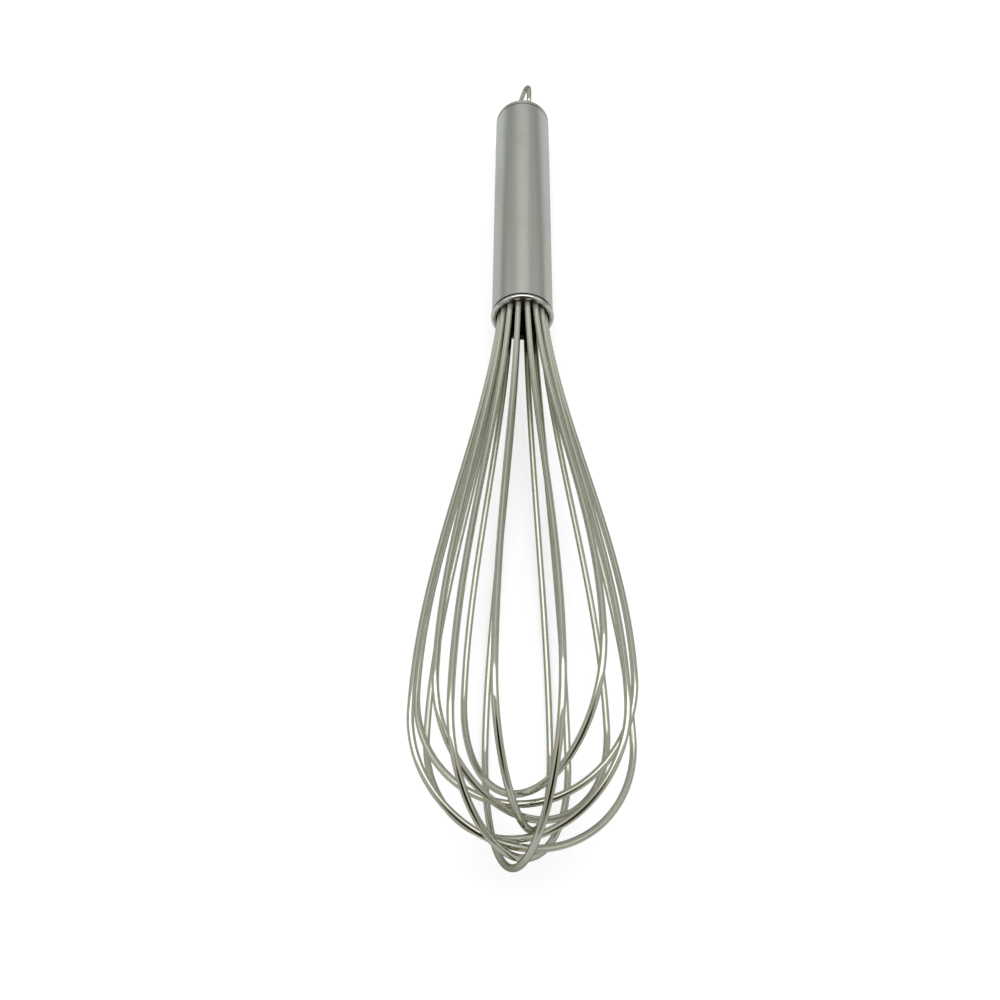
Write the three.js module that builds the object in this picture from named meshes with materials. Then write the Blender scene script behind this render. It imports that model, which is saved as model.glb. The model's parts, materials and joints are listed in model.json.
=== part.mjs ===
// A balloon whisk: eight sprung wire loops gripped in the mouth of a steel tube handle,
// with a capped end and a hanging loop that turns in the cap.
// The whisk is built along its own axis, with the mouth at y = 0, the handle towards +Y
// and the balloon towards -Y, and is then laid on the surface it rests on.
import * as THREE from "three";

// Sizes in millimetres, angles in degrees

const CLEARANCE = 0.3; // between pieces that touch
const ROUND_SEGMENTS = 48; // round the turned pieces
const ARC_DIVISIONS = 3; // half the number of straight pieces in each arc of their outlines

const HANDLE_LENGTH = 113; // middle of the mouth ring to the cap's outer face
const HANDLE_DIAMETER = 22;
const HANDLE_WALL = 0.6;

const RING_PROUD = 0.35; // how far the mouth ring stands out past the tube
const SLEEVE_WALL = 0.8; // the ring's sleeve inside the tube
const SLEEVE_LENGTH = 12;

const CAP_THICKNESS = 2.2;
const CAP_EDGE_RADIUS = 0.8;
const SKIRT_WALL = 0.8; // the cap's skirt inside the tube
const SKIRT_LENGTH = 8;

const WIRE_DIAMETER = 2;
const WIRE_SIDES = 8;
const WIRE_STEPS = 72; // along one loop
const GRIP_DEPTH = 38; // strand inside the handle
const CORE_RECESS = 9; // from the mouth to the core's front face
const CORE_CHAMFER = 1;
const STOP_THICKNESS = 3; // the core's flange behind the strands' ends

const INNERMOST_REACH = 172.9; // mouth to the tip of the shortest loop
const FLARE_SLOPE = 0.087; // outward lean of a strand as it leaves the mouth
const FLARE_START = 0.38; // pulls of the flare's curve, as shares of its length
const FLARE_END = 0.305;
const END_SIDE = 0.586; // pulls of the round end's curve, as shares of its depth and width
const END_TIP = 0.52;

const BELLY_RADIUS = 31; // of the balloon at its widest, on the wires' centre lines
const END_DEPTH = 34; // belly to tip
const TIP_GAP = 0.5; // between one loop and the next at the tip

// The loops from the shortest to the longest. Place counts strands round the mouth, from half a strand
// above its right side. Gap, depth and swell are each loop's own shares of the three sizes above.
// Turn is how far a strand has turned at the belly from its place at the mouth.
const LOOPS = [
  { place: 2, gap: 0, depth: 1.04, right: { turn: -4.5, swell: 1.085 }, left: { turn: -4.5, swell: 0.9 } },
  { place: 0, gap: 1.8, depth: 0.99, right: { turn: 1.5, swell: 1.02 }, left: { turn: -0.5, swell: 0.99 } },
  { place: -2, gap: 2.4, depth: 0.93, right: { turn: -5.5, swell: 1.06 }, left: { turn: -6, swell: 0.975 } },
  { place: -4, gap: 1, depth: 0.9, right: { turn: 5, swell: 1.035 }, left: { turn: 2, swell: 1.07 } },
  { place: 1, gap: 2, depth: 0.96, right: { turn: -5, swell: 1.015 }, left: { turn: -4.5, swell: 1.015 } },
  { place: -1, gap: 0.6, depth: 0.97, right: { turn: -7.5, swell: 1.08 }, left: { turn: -6.5, swell: 1.02 } },
  { place: -3, gap: 0.5, depth: 0.94, right: { turn: -3, swell: 0.87 }, left: { turn: 4.5, swell: 0.975 } },
  { place: 3, gap: 1.4, depth: 1.25, right: { turn: -4, swell: 1.16 }, left: { turn: -8, swell: 1.05 } },
];

const HANGER_WIRE = 2;
const HANGER_STEPS = 56;
const HANGER_WIDTH = 17.5; // between the centre lines of the legs
const HANGER_REACH = 19; // cap's outer face to the top of the loop
const HANGER_BEND = 2.2; // radius of the bends, on the centre line
const HANGER_FOOT = 5; // length of each end bent outwards behind the cap
const HANGER_TURN = 17.7; // of the loop's plane from upright, towards the right

// Sizes that follow

const handleRadius = HANDLE_DIAMETER / 2;
const boreRadius = handleRadius - HANDLE_WALL;
const fitRadius = boreRadius - CLEARANCE; // of what slides into the tube
const sleeveInner = fitRadius - SLEEVE_WALL;
const wireRadius = WIRE_DIAMETER / 2;
const strandRing = sleeveInner - CLEARANCE - wireRadius; // radius of the strands' centres in the mouth
const beadRadius = (handleRadius + RING_PROUD - sleeveInner) / 2;
const tubeStart = beadRadius + CLEARANCE;
const tubeEnd = HANDLE_LENGTH - CAP_THICKNESS - CLEARANCE;
const capInner = HANDLE_LENGTH - CAP_THICKNESS;
const hangerRadius = HANGER_WIRE / 2;
const legOffset = hangerRadius + CLEARANCE / 2; // the two legs side by side in the cap's hole
const capHole = legOffset + hangerRadius + CLEARANCE;
const strandStep = Math.PI / LOOPS.length;

const satinSteel = { color: 0xa6a8a0, roughness: 0.38, metalness: 1 };
const brightSteel = { color: 0xc8c9c2, roughness: 0.16, metalness: 1 };
const wireSteel = { color: 0xb2b3a8, roughness: 0.22, metalness: 1 };
const darkResin = { color: 0x14140f, roughness: 0.8, metalness: 0 };

function namedMesh(name, geometry, finish) {
  const mesh = new THREE.Mesh(geometry, new THREE.MeshStandardMaterial(finish));
  mesh.name = name;
  return mesh;
}

// A piece turned about the whisk's axis, from a closed outline of radius and height.
function turned(outline) {
  const points = outline.getPoints(ARC_DIVISIONS);
  if (THREE.ShapeUtils.isClockWise(points)) points.reverse();
  return new THREE.LatheGeometry(points, ROUND_SEGMENTS);
}

// A round wire along a curve in space.
function wire(radius, curve, steps) {
  const section = new THREE.Shape().absarc(0, 0, radius, 0, 2 * Math.PI);
  const curveSegments = WIRE_SIDES / 2;
  return new THREE.ExtrudeGeometry(section, { steps, curveSegments, extrudePath: curve });
}

function handleTube() {
  const outline = new THREE.Path()
    .moveTo(boreRadius, tubeStart)
    .lineTo(handleRadius, tubeStart)
    .lineTo(handleRadius, tubeEnd)
    .lineTo(boreRadius, tubeEnd)
    .closePath();
  return namedMesh("handle_tube", turned(outline), satinSteel);
}

// A rolled bead round the mouth, with a sleeve that fits into the tube.
function mouthRing() {
  const middle = sleeveInner + beadRadius;
  const sleeveAngle = Math.acos((fitRadius - middle) / beadRadius);
  const outline = new THREE.Path()
    .moveTo(fitRadius, SLEEVE_LENGTH)
    .lineTo(sleeveInner, SLEEVE_LENGTH)
    .lineTo(sleeveInner, 0)
    .absarc(middle, 0, beadRadius, -Math.PI, sleeveAngle)
    .closePath();
  return namedMesh("mouth_ring", turned(outline), brightSteel);
}

// A core that wedges the strands against the sleeve, with a flange that stops their ends.
function wireCore() {
  const coreRadius = strandRing - wireRadius - CLEARANCE;
  const stop = GRIP_DEPTH + CLEARANCE;
  const outline = new THREE.Path()
    .moveTo(0, CORE_RECESS)
    .lineTo(coreRadius - CORE_CHAMFER, CORE_RECESS)
    .lineTo(coreRadius, CORE_RECESS + CORE_CHAMFER)
    .lineTo(coreRadius, stop)
    .lineTo(fitRadius, stop)
    .lineTo(fitRadius, stop + STOP_THICKNESS)
    .lineTo(0, stop + STOP_THICKNESS);
  return namedMesh("wire_core", turned(outline), darkResin);
}

// A plug with a rounded edge, a skirt inside the tube and a hole for the hanging loop.
function endCap() {
  const skirtEnd = capInner - SKIRT_LENGTH;
  const edge = handleRadius - CAP_EDGE_RADIUS;
  const outline = new THREE.Path()
    .moveTo(capHole, capInner)
    .lineTo(fitRadius - SKIRT_WALL, capInner)
    .lineTo(fitRadius - SKIRT_WALL, skirtEnd)
    .lineTo(fitRadius, skirtEnd)
    .lineTo(fitRadius, capInner)
    .lineTo(handleRadius, capInner)
    .absarc(edge, HANDLE_LENGTH - CAP_EDGE_RADIUS, CAP_EDGE_RADIUS, 0, Math.PI / 2)
    .lineTo(capHole, HANDLE_LENGTH)
    .closePath();
  return namedMesh("end_cap", turned(outline), satinSteel);
}

// The centre line of one loop: a leg in the handle, a flare to the belly and a round end, on both sides.
function loopPath(loop, reach) {
  const along = new THREE.Vector3(0, -1, 0);
  const depth = loop.depth * END_DEPTH;
  const bellyHeight = reach - depth;
  const sides = [loop.right, loop.left].map(({ turn, swell }, side) => {
    const place = (loop.place + 0.5) * strandStep + side * Math.PI;
    const angle = place + THREE.MathUtils.degToRad(turn);
    const radius = swell * BELLY_RADIUS;
    const start = new THREE.Vector3(strandRing * Math.cos(place), 0, strandRing * Math.sin(place));
    const belly = new THREE.Vector3(radius * Math.cos(angle), -bellyHeight, radius * Math.sin(angle));
    return { start, belly };
  });
  const middle = sides[0].belly.clone().lerp(sides[1].belly, 0.5);
  const tip = middle.clone().addScaledVector(along, depth);
  const [first, second] = sides.map(({ start, belly }) => {
    const across = belly.clone().sub(middle);
    const lean = across.clone().normalize().multiplyScalar(FLARE_SLOPE).add(along);
    const flareStart = start.clone().addScaledVector(lean, FLARE_START * bellyHeight);
    const flareEnd = belly.clone().addScaledVector(along, -FLARE_END * bellyHeight);
    const endSide = belly.clone().addScaledVector(along, END_SIDE * depth);
    const endTip = tip.clone().addScaledVector(across, END_TIP);
    const gripped = start.clone().addScaledVector(along, -GRIP_DEPTH);
    return { gripped, start, flareStart, flareEnd, belly, endSide, endTip };
  });
  const path = new THREE.CurvePath();
  path.add(new THREE.LineCurve3(first.gripped, first.start));
  path.add(new THREE.CubicBezierCurve3(first.start, first.flareStart, first.flareEnd, first.belly));
  path.add(new THREE.CubicBezierCurve3(first.belly, first.endSide, first.endTip, tip));
  path.add(new THREE.CubicBezierCurve3(tip, second.endTip, second.endSide, second.belly));
  path.add(new THREE.CubicBezierCurve3(second.belly, second.flareEnd, second.flareStart, second.start));
  path.add(new THREE.LineCurve3(second.start, second.gripped));
  return path;
}

// A flat path carried into the plane of the hanging loop.
class HangerCurve extends THREE.Curve {
  constructor(path) {
    super();
    this.path = path;
    const turn = THREE.MathUtils.degToRad(HANGER_TURN);
    this.across = new THREE.Vector3(Math.sin(turn), 0, Math.cos(turn));
  }

  getPoint(share, target = new THREE.Vector3()) {
    const { x, y } = this.path.getPoint(share);
    return target.copy(this.across).multiplyScalar(x).setY(y);
  }
}

// Two feet bent outwards behind the cap, legs through its hole, square shoulders and a round top.
function hangingLoop() {
  const half = HANGER_WIDTH / 2;
  const foot = capInner - CLEARANCE - HANGER_BEND;
  const shoulder = HANDLE_LENGTH + CLEARANCE + HANGER_BEND;
  const topCentre = HANDLE_LENGTH + HANGER_REACH - hangerRadius - half;
  const path = new THREE.Path()
    .moveTo(-legOffset - HANGER_FOOT, foot)
    .lineTo(-legOffset - HANGER_BEND, foot)
    .absarc(-legOffset - HANGER_BEND, foot + HANGER_BEND, HANGER_BEND, -Math.PI / 2, 0)
    .absarc(-legOffset - HANGER_BEND, shoulder - HANGER_BEND, HANGER_BEND, 0, Math.PI / 2)
    .absarc(HANGER_BEND - half, shoulder + HANGER_BEND, HANGER_BEND, -Math.PI / 2, -Math.PI, true)
    .absarc(0, topCentre, half, Math.PI, 0, true)
    .absarc(half - HANGER_BEND, shoulder + HANGER_BEND, HANGER_BEND, 0, -Math.PI / 2, true)
    .absarc(legOffset + HANGER_BEND, shoulder - HANGER_BEND, HANGER_BEND, Math.PI / 2, Math.PI)
    .absarc(legOffset + HANGER_BEND, foot + HANGER_BEND, HANGER_BEND, Math.PI, 1.5 * Math.PI)
    .lineTo(legOffset + HANGER_FOOT, foot);
  return namedMesh("hanging_loop", wire(hangerRadius, new HangerCurve(path), HANGER_STEPS), wireSteel);
}

// How far the handle's end drops when the whisk lies on the rim of its cap and on its lowest wires.
function restAngle(paths) {
  const rim = HANDLE_LENGTH - CAP_EDGE_RADIUS;
  const slopes = paths
    .flatMap((path) => path.getSpacedPoints(WIRE_STEPS))
    .map((point) => (wireRadius - point.z - handleRadius) / (rim - point.y));
  return Math.atan(Math.max(...slopes));
}

const whisk = new THREE.Group();
whisk.add(handleTube(), mouthRing(), wireCore(), endCap(), hangingLoop());

let reach = INNERMOST_REACH - WIRE_DIAMETER;
const loopPaths = LOOPS.map((loop) => {
  reach += WIRE_DIAMETER + loop.gap * TIP_GAP;
  return loopPath(loop, reach);
});
loopPaths.forEach((path, index) => {
  whisk.add(namedMesh(`wire_loop_${index + 1}`, wire(wireRadius, path, WIRE_STEPS), wireSteel));
});

whisk.rotation.x = -restAngle(loopPaths);
const box = new THREE.Box3().setFromObject(whisk, true);
const middle = box.getCenter(new THREE.Vector3());
whisk.position.set(-middle.x, -middle.y, -box.min.z);

const part = new THREE.Group();
part.add(whisk);

export default part;
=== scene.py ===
import json
import math
from typing import NamedTuple

import bmesh
import bpy
from mathutils import Euler, Matrix, Vector


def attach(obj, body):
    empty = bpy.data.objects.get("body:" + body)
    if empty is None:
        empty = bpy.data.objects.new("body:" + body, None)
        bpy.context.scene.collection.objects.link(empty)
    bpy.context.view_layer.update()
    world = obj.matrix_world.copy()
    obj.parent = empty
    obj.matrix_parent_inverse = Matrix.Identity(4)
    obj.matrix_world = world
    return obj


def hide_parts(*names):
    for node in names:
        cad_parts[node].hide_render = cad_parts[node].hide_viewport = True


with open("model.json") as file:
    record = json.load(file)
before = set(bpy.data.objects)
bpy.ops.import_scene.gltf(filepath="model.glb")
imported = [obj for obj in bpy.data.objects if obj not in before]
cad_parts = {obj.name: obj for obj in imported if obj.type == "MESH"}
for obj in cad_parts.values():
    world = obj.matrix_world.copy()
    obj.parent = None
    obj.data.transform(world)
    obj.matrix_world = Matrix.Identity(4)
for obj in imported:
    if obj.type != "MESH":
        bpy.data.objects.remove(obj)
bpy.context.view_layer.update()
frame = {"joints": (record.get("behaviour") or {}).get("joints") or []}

bl_info = {
    "name": "Balloon whisk",
    "version": (1, 0, 0),
    "blender": (4, 5, 0),
    "location": "3D View > Sidebar > Whisk",
    "description": "Builds a steel balloon whisk and the studio that shows it",
    "category": "Add Mesh",
}

MM = 0.001

ALONG = "wire_along"  # distance from a wire's nearer end, stored on its mesh
AROUND = "wire_around"  # place round a wire's section, stored on its mesh

MERGE_DISTANCE = 0.001 * MM  # points of a turned piece that lie closer than this become one
SHARP_ANGLE = math.radians(35)  # edges that turn more than this stay sharp
CURVE_RESOLUTION = 64  # straight pieces between two knots of a wire's curve
FLOOR_SEGMENTS = 96
WHITE = (1, 1, 1)


class Roughness(NamedTuple):
    """A finish's least roughness, and what each of its patterns adds to it."""

    least: float
    added: tuple

    def over(self, *patterns):
        """The roughness under some patterns, in the order of what they add."""
        total = self.least
        for pattern, amount in zip(patterns, self.added):
            total = pattern * amount + total
        return total


SATIN_ROUGHNESS = Roughness(0.22, (0.12, 0.06))
POLISHED_ROUGHNESS = Roughness(0.06, (0.06, 0.06))
WIRE_ROUGHNESS = Roughness(0.06, (0.04, 0.04, 0.04))
RESIN_ROUGHNESS = Roughness(0.6, (0.2,))

# Marks per metre across, along and up the whisk
FINE_BRUSHING = (4200, 22, 4200)
BROAD_BRUSHING = (620, 5, 620)
HANDLING = (95, 42, 95)
POLISHING = (60, 3500, 60)
WEAR = (300, 300, 300)
POURING = (900, 900, 900)

# Marks per metre across a wire's section, on its two axes, and along the wire
DRAWING = (2200, 2200, 45)
DULLING = (660, 660, 160)

# Where a pattern starts to show, and where it shows in full
STREAK_RAMP = (0.3, 0.75)
FILM_RAMP = (0.5, 0.72)
WORN_RAMP = (0.4, 0.7)
DULL_RAMP = (0.48, 0.75)
GAP_RAMP = (-0.5, 0.4)

# Depth of a finish's marks, and how strongly they show
SATIN_RELIEF = (0.02 * MM, 0.35)
POLISHED_RELIEF = (0.01 * MM, 0.2)
WIRE_RELIEF = (0.001 * MM, 0.1)
RESIN_RELIEF = (0.2 * MM, 0.5)

FINE_SHARE = 0.6  # share of the fine brushing in the streaks, where the rest is broad
RESIN_LIGHT = 2.2  # how much brighter the resin's palest grain is
SIDE_RAMP = (0.2, 0.8)  # from the handle's top to its side, in shares of its radius
EDGE_SHADE = (0.02 * MM, 0.2 * MM)  # where the painted shade on the tube's edge starts to fade, and where it ends
GROOVE_START = (0.25 * MM, 0.45 * MM)  # where the painted shade in the groove sets in, from the ring's middle
GROOVE_LEAN = 0.5 * MM  # how much nearer to the ring's middle that is at the sides
GROOVE_EDGE = 0.1 * MM  # half the width over which the painted shade's inner edge in the groove fades
GAP_REFLECTION_EDGE = (0.35 * MM, 0.65 * MM)  # where the painted reflection of the gaps between the strands fades, outside the middle of the ring's bead
UPPER_RAMP = (-2 * MM, 3 * MM)  # from the painted shade on the lower strands to the film and painted light on the upper ones, in heights over the whisk's axis

# Where the room changes, in parts of the unit vector that points there
SKY_RISE = (0, 0.4)
SIDES_RISE = (0.2, 0.75)
SIDES_SPREAD = (0.5, 0.8)
WINDOW_AHEAD = (0, 0.2)
WINDOW_RISE = (0.22, 0.45)
WINDOW_SPREAD = (0.2, 0.32)


class Strand(NamedTuple):
    """One side of a wire loop: its turn at the belly, in degrees, and its share of the belly's radius."""

    turn: float
    swell: float


class Loop(NamedTuple):
    """A wire loop: its place round the mouth in strands, and its shares of the tip's gap and depth."""

    place: int
    gap: float
    depth: float
    right: Strand
    left: Strand


# From the shortest loop to the longest
LOOPS = (
    Loop(2, 0, 1.04, Strand(-4.5, 1.085), Strand(-4.5, 0.9)),
    Loop(0, 1.8, 0.99, Strand(1.5, 1.02), Strand(-0.5, 0.99)),
    Loop(-2, 2.4, 0.93, Strand(-5.5, 1.06), Strand(-6, 0.975)),
    Loop(-4, 1, 0.9, Strand(5, 1.035), Strand(2, 1.07)),
    Loop(1, 2, 0.96, Strand(-5, 1.015), Strand(-4.5, 1.015)),
    Loop(-1, 0.6, 0.97, Strand(-7.5, 1.08), Strand(-6.5, 1.02)),
    Loop(-3, 0.5, 0.94, Strand(-3, 0.87), Strand(4.5, 0.975)),
    Loop(3, 1.4, 1.25, Strand(-4, 1.16), Strand(-8, 1.05)),
)


# Properties

def length(name, description, millimetres):
    """A size, given in millimetres and kept in metres."""
    return bpy.props.FloatProperty(
        name=name, description=description, default=millimetres * MM, min=0, precision=5, unit="LENGTH")


def share(name, description, value):
    """A number from 0 to 1."""
    return bpy.props.FloatProperty(
        name=name, description=description, default=value, min=0, max=1, subtype="FACTOR")


def angle(name, description, degrees):
    """An angle, given in degrees and kept in radians."""
    return bpy.props.FloatProperty(
        name=name, description=description, default=math.radians(degrees), unit="ROTATION")


def brightness(name, description, value):
    """A brightness, where 1 shows as white."""
    return bpy.props.FloatProperty(name=name, description=description, default=value, min=0)


def count(name, description, value):
    """A whole number."""
    return bpy.props.IntProperty(name=name, description=description, default=value, min=3)


def colour(name, description, value):
    """A linear colour."""
    return bpy.props.FloatVectorProperty(
        name=name, description=description, default=value, size=3, min=0, max=1, subtype="COLOR")


class WhiskSizes(bpy.types.PropertyGroup):
    """Sizes of the whisk's pieces"""

    clearance: length("Clearance", "Space between pieces that touch", 0.3)
    segments: count("Segments", "Faces round a turned piece", 160)
    arc_steps: count("Arc steps", "Straight pieces in a rounded corner", 6)
    bead_steps: count("Bead steps", "Straight pieces round the mouth ring", 30)
    bend_steps: count("Bend steps", "Straight pieces in a bend of the hanging loop", 24)

    handle_length: length("Handle length", "Middle of the mouth ring to the cap's outer face", 113)
    handle_diameter: length("Handle diameter", "Outside of the tube", 22)
    handle_wall: length("Handle wall", "Wall of the tube", 0.6)
    mouth_round: length("Mouth rounding", "Radius of the tube's edge at the mouth", 0.12)
    butt_round: length("Butt rounding", "Radius of the tube's edge at the cap", 0.2)
    ring_proud: length("Ring proud", "How far the mouth ring stands out past the tube", 0.35)
    sleeve_wall: length("Sleeve wall", "Wall of the ring's sleeve inside the tube", 0.8)
    sleeve_length: length("Sleeve length", "Reach of the ring's sleeve into the tube", 12)
    cap_thickness: length("Cap thickness", "Thickness of the end cap", 2.2)
    cap_round: length("Cap rounding", "Radius of the cap's outer edge", 0.8)
    hole_round: share("Hole rounding", "Rounding of the cap's hole, as a share of the cap's thickness", 1 / 3)
    skirt_wall: length("Skirt wall", "Wall of the cap's skirt inside the tube", 0.8)
    skirt_length: length("Skirt length", "Reach of the cap's skirt into the tube", 8)

    wire_diameter: length("Wire diameter", "Thickness of the balloon's wire", 2)
    wire_sides: count("Wire sides", "Faces round a wire", 20)
    wire_step: length("Wire step", "Spacing of the rings along a wire", 1.5)
    grip_depth: length("Grip depth", "Length of each strand inside the handle", 38)
    core_recess: length("Core recess", "Mouth to the core's front face", 9)
    core_chamfer: length("Core chamfer", "Bevel of the core's front edge", 1)
    stop_thickness: length("Stop thickness", "The core's flange behind the strands' ends", 3)

    innermost_reach: length("Innermost reach", "Mouth to the tip of the shortest loop", 172.9)
    belly_radius: length("Belly radius", "Radius of the balloon at its widest", 31)
    end_depth: length("End depth", "Belly to tip", 34)
    tip_gap: length("Tip gap", "Space between one loop and the next at the tip", 0.5)
    flare_slope: share("Flare slope", "Outward lean of a strand as it leaves the mouth", 0.087)
    flare_start: share("Flare start", "Pull of the flare's curve at the mouth", 0.38)
    flare_end: share("Flare end", "Pull of the flare's curve at the belly", 0.305)
    end_side: share("End side", "Pull of the round end's curve at the belly", 0.586)
    end_tip: share("End tip", "Pull of the round end's curve at the tip", 0.52)

    hanger_wire: length("Hanger wire", "Thickness of the hanging loop's wire", 2)
    hanger_step: length("Hanger step", "Spacing of the rings along the hanging loop", 0.4)
    hanger_width: length("Hanger width", "Between the middles of the hanging loop's legs", 17.5)
    hanger_reach: length("Hanger reach", "Cap's outer face to the top of the hanging loop", 19)
    hanger_bend: length("Hanger bend", "Radius of the hanging loop's bends", 2.2)
    hanger_foot: length("Hanger foot", "Length of each end bent outwards behind the cap", 5)
    hanger_turn: angle("Hanger turn", "Turn of the hanging loop's plane from upright", 17.7)

    @property
    def handle_radius(self):
        return self.handle_diameter / 2

    @property
    def bore_radius(self):
        return self.handle_radius - self.handle_wall

    @property
    def fit_radius(self):
        """Radius of what slides into the tube."""
        return self.bore_radius - self.clearance

    @property
    def sleeve_inner(self):
        return self.fit_radius - self.sleeve_wall

    @property
    def strand_ring(self):
        """Radius of the strands' middles in the mouth."""
        return self.sleeve_inner - self.clearance - self.wire_diameter / 2

    @property
    def bead_radius(self):
        return (self.handle_radius + self.ring_proud - self.sleeve_inner) / 2

    @property
    def bead_middle(self):
        """Radius of the middle of the mouth ring's bead."""
        return self.sleeve_inner + self.bead_radius

    @property
    def cap_inner(self):
        return self.handle_length - self.cap_thickness

    @property
    def leg_offset(self):
        """Middle of the cap's hole to the middle of each leg of the hanging loop."""
        return (self.hanger_wire + self.clearance) / 2

    @property
    def cap_hole(self):
        return self.leg_offset + self.hanger_wire / 2 + self.clearance

    @property
    def whisk_frame(self):
        """From the whisk's own axes, with the mouth at the origin and the handle towards +Y."""
        swivel = frame["joints"][0]
        axis = Vector(swivel["axis"]).normalized()
        mouth = Vector(swivel["pos_m"]) - axis * self.handle_length
        return Matrix.Translation(mouth) @ Matrix.Rotation(math.asin(axis.z), 4, "X")


class WhiskFinish(bpy.types.PropertyGroup):
    """Colours of the whisk's metals and resin, with the light and shade painted on them, and how strongly
    their marks show
    """

    satin: colour("Satin steel", "Brushed steel of the handle", (0.58, 0.605, 0.54))
    satin_film: colour("Handled steel", "Film left on the handle by use", (0.5, 0.5, 0.42))
    polished: colour("Polished steel", "Bright steel of the mouth ring", (0.68, 0.68, 0.63))
    wire: colour("Drawn wire", "Steel of the wires", (0.57, 0.575, 0.475))
    wire_dull: colour("Dull wire", "Duller patches on the wires", (0.48, 0.48, 0.38))
    wire_rim: colour("Wire rim", "Tint of the wires where they turn away", (0.4, 0.4, 0.36))
    # At the mouth the upper strands get a dull film in a lighter colour, which is painted light, and the
    # lower strands a darker colour, which is painted shade.
    root_film_and_light: colour("Root film", "Dried film on the upper strands at the mouth", (0.67, 0.68, 0.56))
    root_shade: colour("Root shade", "Soil on the lower strands at the mouth", (0.38, 0.385, 0.28))
    resin: colour("Resin", "Core that wedges the strands", (0.02, 0.02, 0.018))
    # This colour is painted shade in the groove behind the mouth ring and on the tube's edge there, and a
    # painted reflection of the dark gaps between the strands.
    groove: colour("Groove", "Residue behind the mouth ring and between the strands", (0.07, 0.07, 0.065))
    streak_shade: share("Streak shade", "Brightness of the darker streaks in the satin steel", 0.93)
    film_cover: share("Film cover", "How strongly the film shows on the handle", 0.4)
    # The tube's edge at the mouth is darkened as painted shade, more at the sides.
    edge_shade: share("Edge soil", "Soil on top of the tube's edge at the mouth", 0.35)
    side_shade: share("Side soil", "What the sides of the handle add to the soil on the tube's edge", 0.6)
    worn_shade: share("Worn shade", "Brightness of the worn patches on the mouth ring", 0.88)
    # On the ring's inner side, the painted reflection of the dark gaps between the strands fades at the
    # sides.
    gap_reflection_fade: share("Residue fade", "How far the residue between the strands fades at the sides", 0.75)
    dull_cover: share("Dull cover", "How strongly the duller patches show on the wires", 0.7)
    film_depth: share("Film depth", "How far the film on the upper strands hides their metal", 0.45)
    # The strands' film, painted light and painted shade reach this far from the mouth.
    root_reach: length("Root reach", "Length of the strands that film and soil cover", 80)


class WhiskStage(bpy.types.PropertyGroup):
    """Floor, light and camera"""

    floor: colour("Floor", "Pale floor", (0.88, 0.9, 0.9))
    floor_radius: length("Floor radius", "Radius of the floor", 6000)
    floor_drop: length("Floor drop", "Space under the lowest wire", 0.1)
    lift: brightness("Lift", "Light through the floor that only the camera sees", 0.47)
    backdrop: brightness("Backdrop", "Brightness of the wall behind the floor", 0.94)
    horizon: brightness("Horizon", "Brightness of the room at the floor's edge", 0.3)
    sky: brightness("Sky", "Brightness of the room higher up", 0.51)
    sides: brightness("Sides", "Brightness that the walls at the whisk's sides add", 0.4)
    window: brightness("Window", "Brightness of the wall beyond the handle", 0.77)
    shade: brightness("Shade", "Brightness of the dark side, behind the camera", 0.016)
    shade_tint: colour("Shade tint", "Colour of the dark side", (1.0, 0.74, 0.58))
    shade_lean: angle("Shade lean", "Lean of the dark side's middle from overhead towards the camera", 48)
    shade_core: angle("Shade core", "Angle from that middle to where the dark side starts to fade", 23)
    shade_edge: angle("Shade edge", "Angle from that middle to the dark side's edge", 31)
    tint_core: angle("Tint core", "Angle from that middle to where its colour starts to fade", 29)
    tint_edge: angle("Tint edge", "Angle from that middle to its colour's edge", 37)
    top: brightness("Top light", "Brightness of the light overhead", 1.75)
    top_tint: colour("Top tint", "Colour of the light overhead", (0.94, 0.95, 1.0))
    top_width: length("Top width", "Side of the light overhead, across the whisk", 2300)
    top_depth: length("Top depth", "Side of the light overhead, along the whisk", 880)
    top_height: length("Top height", "Floor to the light overhead", 1600)
    top_shift: length("Top shift", "How far the light overhead hangs towards the handle", 280)
    lens: bpy.props.FloatProperty(
        name="Lens", description="Focal length in millimetres", default=36, min=1, unit="CAMERA")
    camera_place: bpy.props.FloatVectorProperty(
        name="Camera place", description="Place of the camera from the mouth, on the whisk's own axes",
        default=(-4.88 * MM, -255.18 * MM, 263.88 * MM), size=3, precision=5, subtype="TRANSLATION")
    camera_pitch: angle("Camera pitch", "How far the camera looks down from the whisk's axis", 56.32)
    camera_turn: angle("Camera turn", "How far the camera looks to the left of the whisk's axis", 0.719)
    camera_near: length("Camera near", "Nearest distance that the camera sees", 10)


# Node trees

class Value:
    """What a socket gives. Sums, differences and products of numbers add Math nodes."""

    def __init__(self, maker, socket):
        self.maker = maker
        self.socket = socket

    def __add__(self, other):
        return self.maker.math("ADD", self, other)

    def __sub__(self, other):
        return self.maker.math("SUBTRACT", self, other)

    def __rsub__(self, other):
        return self.maker.math("SUBTRACT", other, self)

    def __mul__(self, other):
        return self.maker.math("MULTIPLY", self, other)

    __radd__ = __add__
    __rmul__ = __mul__

    def between(self, low, high):
        """0 below low and 1 above high, with a smooth step between."""
        settings = {"interpolation_type": "SMOOTHSTEP"}
        inputs = {"Value": self, "From Min": low, "From Max": high}
        return self.maker.node("ShaderNodeMapRange", settings, inputs).value("Result")


class Made:
    """A node that was made, whose outputs come as values."""

    def __init__(self, maker, node):
        self.maker = maker
        self.node = node

    def value(self, output=0):
        return Value(self.maker, self.node.outputs[output])


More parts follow.
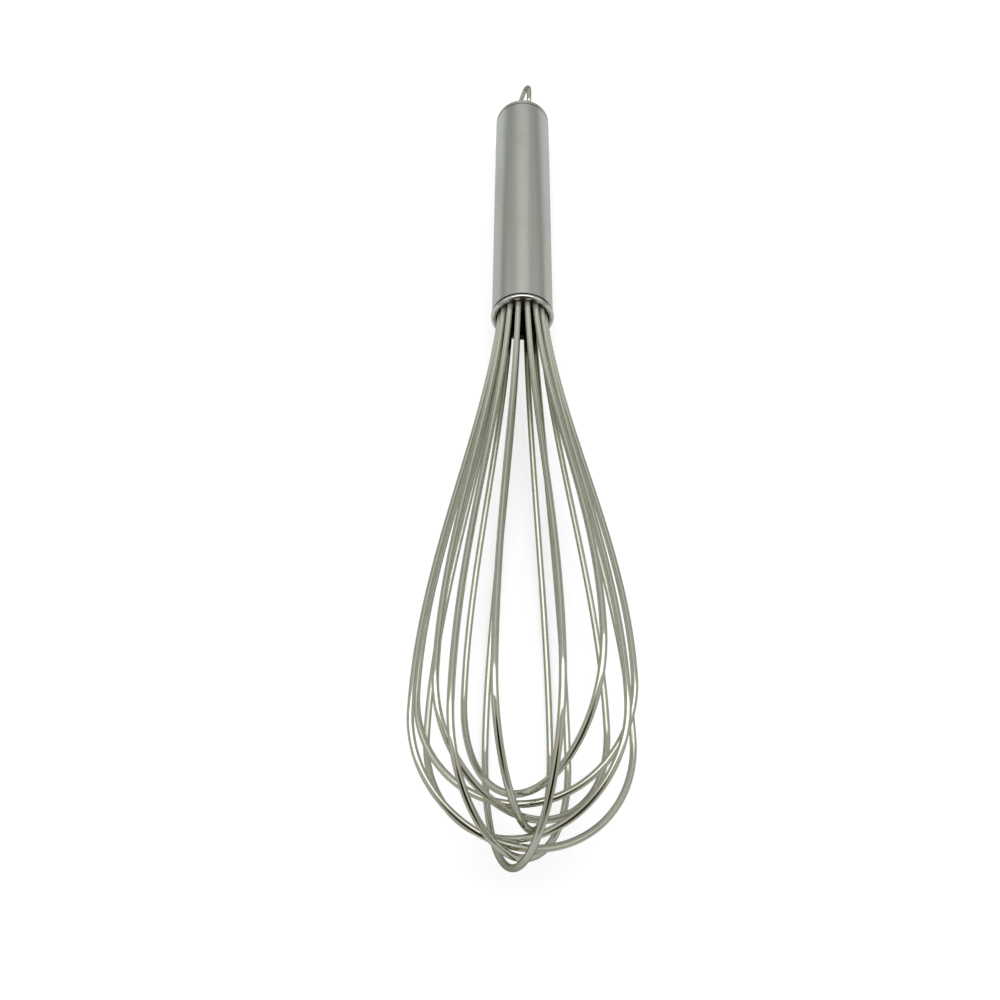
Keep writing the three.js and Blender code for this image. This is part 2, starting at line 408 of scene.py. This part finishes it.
class NodeMaker:
    """Adds nodes to a tree, each with its settings first and then the values or links of its sockets."""

    def __init__(self, tree):
        self.tree = tree
        tree.nodes.clear()

    def node(self, kind, settings=None, inputs=None):
        node = self.tree.nodes.new(kind)
        for name, setting in (settings or {}).items():
            setattr(node, name, setting)
        for name, given in (inputs or {}).items():
            if isinstance(given, Value):
                self.tree.links.new(given.socket, node.inputs[name])
            else:
                node.inputs[name].default_value = given
        return Made(self, node)

    def mix(self, factor, first, second):
        """A colour between two colours."""
        sockets = {0: factor, 6: rgba(first), 7: rgba(second)}
        return self.node("ShaderNodeMix", {"data_type": "RGBA"}, sockets).value(2)

    def math(self, operation, *values):
        return self.node("ShaderNodeMath", {"operation": operation}, dict(enumerate(values))).value()

    def parts(self, vector):
        """The three numbers of a vector."""
        split = self.node("ShaderNodeSeparateXYZ", None, {"Vector": vector})
        return [split.value(axis) for axis in "XYZ"]

    def stretched(self, vector, scale):
        return self.node("ShaderNodeVectorMath", {"operation": "MULTIPLY"}, {0: vector, 1: scale}).value()

    def noise(self, vector, marks, detail=2.0, roughness=0.5):
        """An uneven pattern with so many marks per metre on each axis."""
        vector = self.stretched(vector, marks)
        inputs = {"Vector": vector, "Scale": 1.0, "Detail": detail, "Roughness": roughness}
        return self.node("ShaderNodeTexNoise", None, inputs).value()

    def bump(self, height, distance, strength):
        inputs = {"Height": height, "Distance": distance, "Strength": strength}
        return self.node("ShaderNodeBump", None, inputs).value()


def rgba(given):
    """A colour with its fourth number, or a value as it is."""
    return given if isinstance(given, Value) else (*given, 1.0)


def scaled(tint, factor):
    """A colour made brighter or darker."""
    return [part * factor for part in tint]


def surface(name, paint):
    """A material whose one shader takes its sockets from paint, a function of the node maker."""
    material = bpy.data.materials.get(name)
    if material:
        return material
    material = bpy.data.materials.new(name)
    material.use_nodes = True
    maker = NodeMaker(material.node_tree)
    shader = maker.node("ShaderNodeBsdfPrincipled", None, paint(maker)).value()
    maker.node("ShaderNodeOutputMaterial", None, {"Surface": shader})
    return material


def whisk_coordinates(maker, sizes):
    """A point of a piece on the whisk's own axes."""
    inverse = sizes.whisk_frame.inverted()
    place = maker.node("ShaderNodeTexCoord").value("Object")
    inputs = {"Vector": place, "Location": inverse.to_translation(), "Rotation": inverse.to_euler()}
    return maker.node("ShaderNodeMapping", None, inputs).value()


def whisk_side(maker, across, sizes):
    """0 along the top and bottom of the handle, and 1 along its sides."""
    top, side = SIDE_RAMP
    return maker.math("ABSOLUTE", across).between(top * sizes.handle_radius, side * sizes.handle_radius)


def whisk_radius(maker, place):
    """How far a point lies from the whisk's axis."""
    flat = maker.stretched(place, (1, 0, 1))
    return maker.node("ShaderNodeVectorMath", {"operation": "LENGTH"}, {0: flat}).value("Value")


def between_strands(maker, across, up):
    """1 halfway between two strands round the mouth, and -1 at a strand."""
    turn = maker.math("ARCTAN2", up, across) * (2 * len(LOOPS))
    return maker.math("COSINE", turn)


# Finishes

def satin_steel(sizes, finish):
    """Steel brushed along the handle, with a faint film from use and painted shade along its edge at the
    mouth.
    """
    def paint(maker):
        place = whisk_coordinates(maker, sizes)
        across, along, _ = maker.parts(place)
        fine = maker.noise(place, FINE_BRUSHING, detail=3.0, roughness=0.6)
        broad = maker.noise(place, BROAD_BRUSHING)
        film = maker.noise(place, HANDLING, detail=3.0).between(*FILM_RAMP)
        streak = fine * FINE_SHARE + broad * (1 - FINE_SHARE)
        darker = scaled(finish.satin, finish.streak_shade)
        brushed = maker.mix(streak.between(*STREAK_RAMP), darker, finish.satin)
        handled = maker.mix(film * finish.film_cover, brushed, finish.satin_film)
        # Painted shade along the tube's edge at the mouth, stronger at the sides.
        edge = sizes.bead_radius + sizes.clearance
        fading, clean = EDGE_SHADE
        shaded_edge = 1 - along.between(edge + fading, edge + clean)
        painted_shade = shaded_edge * (whisk_side(maker, across, sizes) * finish.side_shade + finish.edge_shade)
        return {
            "Base Color": maker.mix(painted_shade, handled, finish.groove),
            "Metallic": 1.0,
            "Roughness": SATIN_ROUGHNESS.over(streak, film),
            "Normal": maker.bump(streak, *SATIN_RELIEF),
        }
    return surface("satin_steel", paint)


def polished_steel(sizes, finish):
    """Bright steel with the fine rings of its polishing, with painted shade in the groove and a painted
    reflection of the dark gaps between the strands.
    """
    def paint(maker):
        place = whisk_coordinates(maker, sizes)
        across, along, up = maker.parts(place)
        rings = maker.noise(place, POLISHING)
        worn = maker.noise(place, WEAR, detail=3.0)
        darker = scaled(finish.polished, finish.worn_shade)
        bright = maker.mix(worn.between(*WORN_RAMP), finish.polished, darker)
        radius = whisk_radius(maker, place)
        side = whisk_side(maker, across, sizes)
        # Painted shade in the groove behind the bead, nearer its middle at the sides.
        outer = radius.between(sizes.fit_radius - GROOVE_EDGE, sizes.fit_radius + GROOVE_EDGE)
        groove = (along + side * GROOVE_LEAN).between(*GROOVE_START) * outer
        # Painted reflection of the dark gaps between the strands, on the bead's inner side.
        fading, clean = GAP_REFLECTION_EDGE
        inner = 1 - radius.between(sizes.bead_middle + fading, sizes.bead_middle + clean)
        gaps = between_strands(maker, across, up).between(*GAP_RAMP)
        gap_reflection = inner * gaps * (1 - side * finish.gap_reflection_fade)
        return {
            "Base Color": maker.mix(maker.math("MAXIMUM", groove, gap_reflection), bright, finish.groove),
            "Metallic": 1.0,
            "Roughness": POLISHED_ROUGHNESS.over(rings, worn),
            "Normal": maker.bump(rings, *POLISHED_RELIEF),
        }
    return surface("polished_steel", paint)


def drawn_wire(sizes, finish):
    """Bright wire with the lengthwise marks of its drawing, duller patches, and at its roots a film with
    painted light on the upper strands and painted shade on the lower ones.
    """
    def paint(maker):
        passed = maker.node("ShaderNodeAttribute", {"attribute_name": ALONG}).value("Fac")
        around = maker.node("ShaderNodeAttribute", {"attribute_name": AROUND}).value("Vector")
        right, top, _ = maker.parts(around)
        on_wire = maker.node("ShaderNodeCombineXYZ", None, {"X": right, "Y": top, "Z": passed}).value()
        drawing = maker.noise(on_wire, DRAWING, detail=3.0, roughness=0.6)
        dull = maker.noise(on_wire, DULLING, detail=3.0).between(*DULL_RAMP)
        metal = maker.mix(dull * finish.dull_cover, finish.wire, finish.wire_dull)
        _, along, up = maker.parts(whisk_coordinates(maker, sizes))
        root = along.between(-finish.root_reach, 0) - along.between(0, sizes.handle_length)
        # Lighter film on the upper strands and a darker colour on the lower ones: painted light and painted
        # shade.
        upper = up.between(*UPPER_RAMP)
        root_light_and_shade = maker.mix(upper, finish.root_shade, finish.root_film_and_light)
        return {
            "Base Color": maker.mix(root, metal, root_light_and_shade),
            "Specular Tint": rgba(finish.wire_rim),
            "Metallic": 1 - root * upper * finish.film_depth,
            "Roughness": WIRE_ROUGHNESS.over(drawing, dull, root),
            "Normal": maker.bump(drawing, *WIRE_RELIEF),
        }
    return surface("drawn_wire", paint)


def dark_resin(sizes, finish):
    """Matt resin, a little uneven where it was poured."""
    def paint(maker):
        grain = maker.noise(whisk_coordinates(maker, sizes), POURING, detail=4.0, roughness=0.6)
        return {
            "Base Color": maker.mix(grain, finish.resin, scaled(finish.resin, RESIN_LIGHT)),
            "Roughness": RESIN_ROUGHNESS.over(grain),
            "Normal": maker.bump(grain, *RESIN_RELIEF),
        }
    return surface("dark_resin", paint)


# Shapes

def arc(centre, radius, start, end, steps):
    """Points of an arc in a plane, from one angle to another, both in degrees."""
    angles = [math.radians(start + (end - start) * step / steps) for step in range(steps + 1)]
    return [Vector(centre) + radius * Vector((math.cos(a), math.sin(a))) for a in angles]


def rounded(outline, steps):
    """A closed outline of corners, each a radius, a height and its rounding, as points."""
    points = []
    places = [Vector(corner[:2]) for corner in outline]
    for index, (corner, (_, _, rounding)) in enumerate(zip(places, outline)):
        if not rounding:
            points.append(corner)
            continue
        back = (places[index - 1] - corner).normalized()
        onward = (places[(index + 1) % len(places)] - corner).normalized()
        half = back.angle(onward) / 2
        middle = corner + (back + onward).normalized() * (rounding / math.sin(half))
        first = corner + back * (rounding / math.tan(half)) - middle
        last = corner + onward * (rounding / math.tan(half)) - middle
        turn = first.angle_signed(last)
        spin = [Matrix.Rotation(-turn * step / steps, 2) for step in range(steps + 1)]
        points += [middle + matrix @ first for matrix in spin]
    return points


def turned(name, outline, material, sizes):
    """A piece turned about the whisk's axis from a closed outline of radius and height."""
    segments = sizes.segments
    shape = bmesh.new()
    rings = []
    for radius, height in outline:
        angles = [2 * math.pi * step / segments for step in range(segments)]
        places = [(radius * math.cos(a), height, radius * math.sin(a)) for a in angles]
        rings.append([shape.verts.new(place) for place in places])
    for ring, following in zip(rings, rings[1:] + rings[:1]):
        for step in range(segments):
            after = (step + 1) % segments
            shape.faces.new((ring[step], ring[after], following[after], following[step]))
    bmesh.ops.remove_doubles(shape, verts=shape.verts, dist=MERGE_DISTANCE)
    bmesh.ops.recalc_face_normals(shape, faces=shape.faces)
    bmesh.ops.transform(shape, matrix=sizes.whisk_frame, verts=shape.verts)
    mesh = bpy.data.meshes.new(name)
    shape.to_mesh(mesh)
    shape.free()
    mesh.shade_smooth()
    mesh.set_sharp_from_angle(angle=SHARP_ANGLE)
    mesh.materials.append(material)
    return placed(name, mesh)


def placed(name, mesh):
    """An object of a mesh, in the scene at the origin."""
    piece = bpy.data.objects.new(name, mesh)
    bpy.context.scene.collection.objects.link(piece)
    return piece


def dressed(piece, body, node):
    """A piece that rides on a body and stands for a node."""
    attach(piece, body)
    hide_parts(node)


def wire_tree():
    """A node tree that draws a round wire along a curve."""
    tree = bpy.data.node_groups.get("Drawn wire")
    if tree:
        return tree
    tree = bpy.data.node_groups.new("Drawn wire", "GeometryNodeTree")
    tree.interface.new_socket("Path", in_out="INPUT", socket_type="NodeSocketGeometry")
    for name, kind in (("Radius", "Float"), ("Step", "Float"), ("Sides", "Int"), ("Metal", "Material")):
        tree.interface.new_socket(name, in_out="INPUT", socket_type=f"NodeSocket{kind}")
    tree.interface.new_socket("Wire", in_out="OUTPUT", socket_type="NodeSocketGeometry")
    maker = NodeMaker(tree)
    given = maker.node("NodeGroupInput")
    path = maker.node("GeometryNodeResampleCurve", {"mode": "LENGTH"},
                      {"Curve": given.value("Path"), "Length": given.value("Step")})
    passed = maker.node("GeometryNodeSplineParameter").value("Length")
    whole = maker.node("GeometryNodeSplineLength").value("Length")
    reach = maker.math("MINIMUM", passed, whole - passed)
    spine = maker.node("GeometryNodeStoreNamedAttribute", {"data_type": "FLOAT", "domain": "POINT"},
                       {"Geometry": path.value(), "Name": ALONG, "Value": reach})
    circle = maker.node("GeometryNodeCurvePrimitiveCircle", {"mode": "RADIUS"},
                        {"Resolution": given.value("Sides"), "Radius": given.value("Radius")})
    section = maker.node("GeometryNodeStoreNamedAttribute", {"data_type": "FLOAT_VECTOR", "domain": "POINT"},
                         {"Geometry": circle.value(), "Name": AROUND,
                          "Value": maker.node("GeometryNodeInputPosition").value()})
    swept = maker.node("GeometryNodeCurveToMesh", None,
                       {"Curve": spine.value(), "Profile Curve": section.value(), "Fill Caps": True})
    smooth = maker.node("GeometryNodeSetShadeSmooth", None, {"Geometry": swept.value()})
    real = maker.node("GeometryNodeRealizeInstances", None, {"Geometry": smooth.value()})
    metal = maker.node("GeometryNodeSetMaterial", None,
                       {"Geometry": real.value(), "Material": given.value("Metal")})
    maker.node("NodeGroupOutput", None, {"Wire": metal.value()})
    return tree


def wire(name, path, inputs):
    """A plain mesh of a round wire along a curve, with the sizes that the node tree takes."""
    holder = bpy.data.objects.new(name + "_path", path)
    bpy.context.scene.collection.objects.link(holder)
    modifier = holder.modifiers.new("Drawn wire", "NODES")
    modifier.node_group = wire_tree()
    for socket in modifier.node_group.interface.items_tree:
        if socket.name in inputs:
            modifier[socket.identifier] = inputs[socket.name]
    graph = bpy.context.evaluated_depsgraph_get()
    mesh = bpy.data.meshes.new_from_object(
        holder.evaluated_get(graph), preserve_all_data_layers=True, depsgraph=graph)
    mesh.name = name
    holder.modifiers.remove(modifier)
    bpy.data.objects.remove(holder)
    bpy.data.curves.remove(path)
    return placed(name, mesh)


def wire_inputs(sizes, finish, diameter, step):
    """What the node tree takes for a wire of one thickness."""
    return {
        "Radius": diameter / 2,
        "Step": step,
        "Sides": sizes.wire_sides,
        "Metal": drawn_wire(sizes, finish),
    }


def curve_data(name):
    """An empty curve in space, finely divided."""
    path = bpy.data.curves.new(name, "CURVE")
    path.dimensions = "3D"
    path.resolution_u = CURVE_RESOLUTION
    return path


def loop_knots(sizes, loop, reach):
    """The knots of one loop's curve from end to end, each with its two handles, on the whisk's axes."""
    along = Vector((0, -1, 0))
    strand_step = math.pi / len(LOOPS)
    depth = loop.depth * sizes.end_depth
    belly_height = reach - depth
    starts, bellies = [], []
    for side, strand in enumerate((loop.right, loop.left)):
        place = (loop.place + 0.5) * strand_step + side * math.pi
        turn = place + math.radians(strand.turn)
        radius = strand.swell * sizes.belly_radius
        starts.append(sizes.strand_ring * Vector((math.cos(place), 0, math.sin(place))))
        bellies.append(radius * Vector((math.cos(turn), 0, math.sin(turn))) + along * belly_height)
    middle = (bellies[0] + bellies[1]) / 2
    tip = middle + along * depth
    halves, tip_handles = [], []
    for start, belly in zip(starts, bellies):
        across = belly - middle
        lean = across.normalized() * sizes.flare_slope + along
        flare_start = start + lean * (sizes.flare_start * belly_height)
        flare_end = belly - along * (sizes.flare_end * belly_height)
        end_side = belly + along * (sizes.end_side * depth)
        gripped = start - along * sizes.grip_depth
        third = along * (sizes.grip_depth / 3)
        halves.append([
            (gripped, gripped, gripped + third),
            (start, start - third, flare_start),
            (belly, flare_end, end_side),
        ])
        tip_handles.append(tip + across * sizes.end_tip)
    right, left = halves
    back = [(knot, after, before) for knot, before, after in reversed(left)]
    return [*right, (tip, *tip_handles), *back]


def loop_curve(name, sizes, loop, reach):
    """One wire loop's centre line as a curve."""
    path = curve_data(name)
    knots = loop_knots(sizes, loop, reach)
    spline = path.splines.new("BEZIER")
    spline.bezier_points.add(len(knots) - 1)
    for point, places in zip(spline.bezier_points, knots):
        point.handle_left_type = point.handle_right_type = "FREE"
        point.co, point.handle_left, point.handle_right = (sizes.whisk_frame @ place for place in places)
    return path


def hanger_curve(name, sizes):
    """The hanging loop's centre line: two feet, legs through the cap, square shoulders and a round top."""
    bend = sizes.hanger_bend
    half = sizes.hanger_width / 2
    legs = sizes.leg_offset + bend
    foot = sizes.cap_inner - sizes.clearance
    shoulder = sizes.handle_length + sizes.clearance
    top = sizes.handle_length + sizes.hanger_reach - sizes.hanger_wire / 2 - half
    steps = sizes.bend_steps
    right = [Vector((sizes.leg_offset + sizes.hanger_foot, foot - bend))]
    right += arc((legs, foot), bend, 270, 180, steps)
    right += arc((legs, shoulder), bend, 180, 90, steps)
    right += arc((half - bend, shoulder + 2 * bend), bend, 270, 360, steps)
    right += arc((0, top), half, 0, 90, 2 * steps)
    left = [Vector((-x, y)) for x, y in reversed(right[:-1])]
    across = Vector((math.sin(sizes.hanger_turn), 0, math.cos(sizes.hanger_turn)))
    path = curve_data(name)
    points = [sizes.whisk_frame @ (across * x + Vector((0, y, 0))) for x, y in right + left]
    spline = path.splines.new("POLY")
    spline.points.add(len(points) - 1)
    for point, place in zip(spline.points, points):
        point.co = (*place, 1)
    return path


# Operators

class WHISK_OT_handle(bpy.types.Operator):
    """Turn the tube handle, with rounded edges at the mouth and the cap"""

    bl_idname = "whisk.handle"
    bl_label = "Handle"
    bl_options = {"REGISTER", "UNDO"}

    def execute(self, context):
        sizes, finish = context.scene.whisk_sizes, context.scene.whisk_finish
        start = sizes.bead_radius + sizes.clearance
        end = sizes.cap_inner - sizes.clearance
        outline = [
            (sizes.bore_radius, start, 0),
            (sizes.handle_radius, start, sizes.mouth_round),
            (sizes.handle_radius, end, sizes.butt_round),
            (sizes.bore_radius, end, 0),
        ]
        piece = turned("handle_shell", rounded(outline, sizes.arc_steps), satin_steel(sizes, finish), sizes)
        dressed(piece, "whisk", "handle_tube")
        return {"FINISHED"}


class WHISK_OT_ring(bpy.types.Operator):
    """Turn the rolled ring round the mouth, with its sleeve"""

    bl_idname = "whisk.ring"
    bl_label = "Mouth ring"
    bl_options = {"REGISTER", "UNDO"}

    def execute(self, context):
        sizes, finish = context.scene.whisk_sizes, context.scene.whisk_finish
        middle = sizes.bead_middle
        sleeve = math.degrees(math.acos((sizes.fit_radius - middle) / sizes.bead_radius))
        outline = [Vector((sizes.fit_radius, sizes.sleeve_length))]
        outline += [Vector((sizes.sleeve_inner, sizes.sleeve_length))]
        outline += arc((middle, 0), sizes.bead_radius, -180, sleeve, sizes.bead_steps)
        piece = turned("mouth_bead", outline, polished_steel(sizes, finish), sizes)
        dressed(piece, "whisk", "mouth_ring")
        return {"FINISHED"}


class WHISK_OT_core(bpy.types.Operator):
    """Turn the core that wedges the strands in the mouth"""

    bl_idname = "whisk.core"
    bl_label = "Core"
    bl_options = {"REGISTER", "UNDO"}

    def execute(self, context):
        sizes, finish = context.scene.whisk_sizes, context.scene.whisk_finish
        radius = sizes.strand_ring - sizes.wire_diameter / 2 - sizes.clearance
        front = sizes.core_recess
        stop = sizes.grip_depth + sizes.clearance
        outline = [
            Vector((0, front)),
            Vector((radius - sizes.core_chamfer, front)),
            Vector((radius, front + sizes.core_chamfer)),
            Vector((radius, stop)),
            Vector((sizes.fit_radius, stop)),
            Vector((sizes.fit_radius, stop + sizes.stop_thickness)),
            Vector((0, stop + sizes.stop_thickness)),
        ]
        piece = turned("core_plug", outline, dark_resin(sizes, finish), sizes)
        dressed(piece, "whisk", "wire_core")
        return {"FINISHED"}


class WHISK_OT_cap(bpy.types.Operator):
    """Turn the cap that closes the handle's end"""

    bl_idname = "whisk.cap"
    bl_label = "End cap"
    bl_options = {"REGISTER", "UNDO"}

    def execute(self, context):
        sizes, finish = context.scene.whisk_sizes, context.scene.whisk_finish
        skirt = sizes.fit_radius - sizes.skirt_wall
        skirt_end = sizes.cap_inner - sizes.skirt_length
        hole_round = sizes.hole_round * sizes.cap_thickness
        outline = [
            (sizes.cap_hole, sizes.cap_inner, 0),
            (skirt, sizes.cap_inner, 0),
            (skirt, skirt_end, 0),
            (sizes.fit_radius, skirt_end, 0),
            (sizes.fit_radius, sizes.cap_inner, 0),
            (sizes.handle_radius, sizes.cap_inner, 0),
            (sizes.handle_radius, sizes.handle_length, sizes.cap_round),
            (sizes.cap_hole, sizes.handle_length, hole_round),
        ]
        piece = turned("butt_cap", rounded(outline, sizes.arc_steps), satin_steel(sizes, finish), sizes)
        dressed(piece, "whisk", "end_cap")
        return {"FINISHED"}


class WHISK_OT_loops(bpy.types.Operator):
    """Draw the balloon's wire loops"""

    bl_idname = "whisk.loops"
    bl_label = "Wire loops"
    bl_options = {"REGISTER", "UNDO"}

    def execute(self, context):
        sizes, finish = context.scene.whisk_sizes, context.scene.whisk_finish
        inputs = wire_inputs(sizes, finish, sizes.wire_diameter, sizes.wire_step)
        reach = sizes.innermost_reach - sizes.wire_diameter
        for number, loop in enumerate(LOOPS, 1):
            reach += sizes.wire_diameter + loop.gap * sizes.tip_gap
            name = f"balloon_wire_{number}"
            piece = wire(name, loop_curve(name, sizes, loop, reach), inputs)
            dressed(piece, "whisk", f"wire_loop_{number}")
        return {"FINISHED"}


class WHISK_OT_hanger(bpy.types.Operator):
    """Bend the hanging loop that turns in the cap"""

    bl_idname = "whisk.hanger"
    bl_label = "Hanging loop"
    bl_options = {"REGISTER", "UNDO"}

    def execute(self, context):
        sizes, finish = context.scene.whisk_sizes, context.scene.whisk_finish
        inputs = wire_inputs(sizes, finish, sizes.hanger_wire, sizes.hanger_step)
        piece = wire("hanger_wire", hanger_curve("hanger_wire", sizes), inputs)
        dressed(piece, "hanger", "hanging_loop")
        return {"FINISHED"}


class WHISK_OT_stage(bpy.types.Operator):
    """Lay the floor, light the room and set the camera"""

    bl_idname = "whisk.stage"
    bl_label = "Stage"
    bl_options = {"REGISTER", "UNDO"}

    def execute(self, context):
        stage = context.scene.whisk_stage
        self.floor(stage)
        self.room(context.scene, stage)
        self.light(context.scene, stage)
        self.camera(context.scene, stage)
        context.scene.view_settings.view_transform = "Standard"
        return {"FINISHED"}

    def floor(self, stage):
        """A pale disc, which shows brighter to the camera than to the whisk."""
        shape = bmesh.new()
        bmesh.ops.create_circle(shape, cap_ends=True, segments=FLOOR_SEGMENTS, radius=stage.floor_radius)
        bmesh.ops.translate(shape, verts=shape.verts, vec=(0, 0, -stage.floor_drop))
        mesh = bpy.data.meshes.new("studio_floor")
        shape.to_mesh(mesh)
        shape.free()
        material = bpy.data.materials.new("pale_floor")
        material.use_nodes = True
        maker = NodeMaker(material.node_tree)
        matt = maker.node("ShaderNodeBsdfDiffuse", None, {"Color": rgba(stage.floor)}).value()
        seen = maker.node("ShaderNodeLightPath").value("Is Camera Ray")
        glow = maker.node("ShaderNodeEmission", None, {"Strength": seen * stage.lift}).value()
        both = maker.node("ShaderNodeAddShader", None, {0: matt, 1: glow}).value()
        maker.node("ShaderNodeOutputMaterial", None, {"Surface": both})
        mesh.materials.append(material)
        placed("studio_floor", mesh)

    def room(self, scene, stage):
        """A grey room with brighter walls beyond and beside the whisk, a dark side and a pale backdrop."""
        world = bpy.data.worlds.new("studio")
        world.use_nodes = True
        scene.world = world
        maker = NodeMaker(world.node_tree)
        way = maker.node("ShaderNodeTexCoord").value("Generated")
        across, ahead, up = maker.parts(way)
        aside = maker.math("ABSOLUTE", across)
        level = up.between(*SKY_RISE) * (stage.sky - stage.horizon) + stage.horizon
        level = level + up.between(*SIDES_RISE) * aside.between(*SIDES_SPREAD) * stage.sides
        window = ahead.between(*WINDOW_AHEAD) * up.between(*WINDOW_RISE) * (1 - aside.between(*WINDOW_SPREAD))
        level = level + window * (stage.window - level)
        dark_way = Vector((0, -math.sin(stage.shade_lean), math.cos(stage.shade_lean)))
        facing = maker.node("ShaderNodeVectorMath", {"operation": "DOT_PRODUCT"}, {0: way, 1: dark_way})
        toward = facing.value("Value")
        dark = toward.between(math.cos(stage.shade_edge), math.cos(stage.shade_core))
        warm = toward.between(math.cos(stage.tint_edge), math.cos(stage.tint_core))
        level = level + dark * (stage.shade - level)
        seen = maker.node("ShaderNodeLightPath").value("Is Camera Ray")
        shown = level + seen * (stage.backdrop - level)
        tint = maker.mix(warm * (1 - seen), WHITE, stage.shade_tint)
        light = maker.node("ShaderNodeBackground", None, {"Color": tint, "Strength": shown}).value()
        maker.node("ShaderNodeOutputWorld", None, {"Surface": light})

    def light(self, scene, stage):
        """A wide soft light overhead."""
        lamp = bpy.data.lights.new("top_light", "AREA")
        lamp.shape = "RECTANGLE"
        lamp.size = stage.top_width
        lamp.size_y = stage.top_depth
        lamp.color = stage.top_tint
        lamp.energy = math.pi * lamp.size * lamp.size_y * stage.top
        holder = bpy.data.objects.new("top_light", lamp)
        holder.location = (0, stage.top_shift, stage.top_height)
        holder.visible_camera = False
        scene.collection.objects.link(holder)

    def camera(self, scene, stage):
        """The camera, placed and turned on the whisk's own axes."""
        data = bpy.data.cameras.new("photo_camera")
        data.lens = stage.lens
        data.clip_start = stage.camera_near
        camera = bpy.data.objects.new("photo_camera", data)
        scene.collection.objects.link(camera)
        look = Euler((math.pi / 2 - stage.camera_pitch, 0, stage.camera_turn)).to_matrix().to_4x4()
        place = Matrix.Translation(Vector(stage.camera_place))
        camera.matrix_world = scene.whisk_sizes.whisk_frame @ place @ look
        scene.camera = camera


class WHISK_PT_panel(bpy.types.Panel):
    """Sizes, finishes and stage of the whisk"""

    bl_idname = "WHISK_PT_panel"
    bl_label = "Balloon whisk"
    bl_space_type = "VIEW_3D"
    bl_region_type = "UI"
    bl_category = "Whisk"

    def draw(self, context):
        for operator in OPERATORS:
            self.layout.operator(operator.bl_idname)
        for name, group in GROUPS.items():
            box = self.layout.box()
            for entry in group.__annotations__:
                box.prop(getattr(context.scene, name), entry)


OPERATORS = (
    WHISK_OT_handle,
    WHISK_OT_ring,
    WHISK_OT_core,
    WHISK_OT_cap,
    WHISK_OT_loops,
    WHISK_OT_hanger,
    WHISK_OT_stage,
)
GROUPS = {"whisk_sizes": WhiskSizes, "whisk_finish": WhiskFinish, "whisk_stage": WhiskStage}
CLASSES = (*GROUPS.values(), *OPERATORS, WHISK_PT_panel)


def register():
    for kind in CLASSES:
        bpy.utils.register_class(kind)
    for name, group in GROUPS.items():
        setattr(bpy.types.Scene, name, bpy.props.PointerProperty(type=group))


def unregister():
    for name in GROUPS:
        delattr(bpy.types.Scene, name)
    for kind in reversed(CLASSES):
        bpy.utils.unregister_class(kind)


def main():
    register()
    bpy.ops.whisk.stage()
    bpy.ops.whisk.handle()
    bpy.ops.whisk.ring()
    bpy.ops.whisk.core()
    bpy.ops.whisk.cap()
    bpy.ops.whisk.loops()
    bpy.ops.whisk.hanger()


if __name__ == "__main__":
    main()
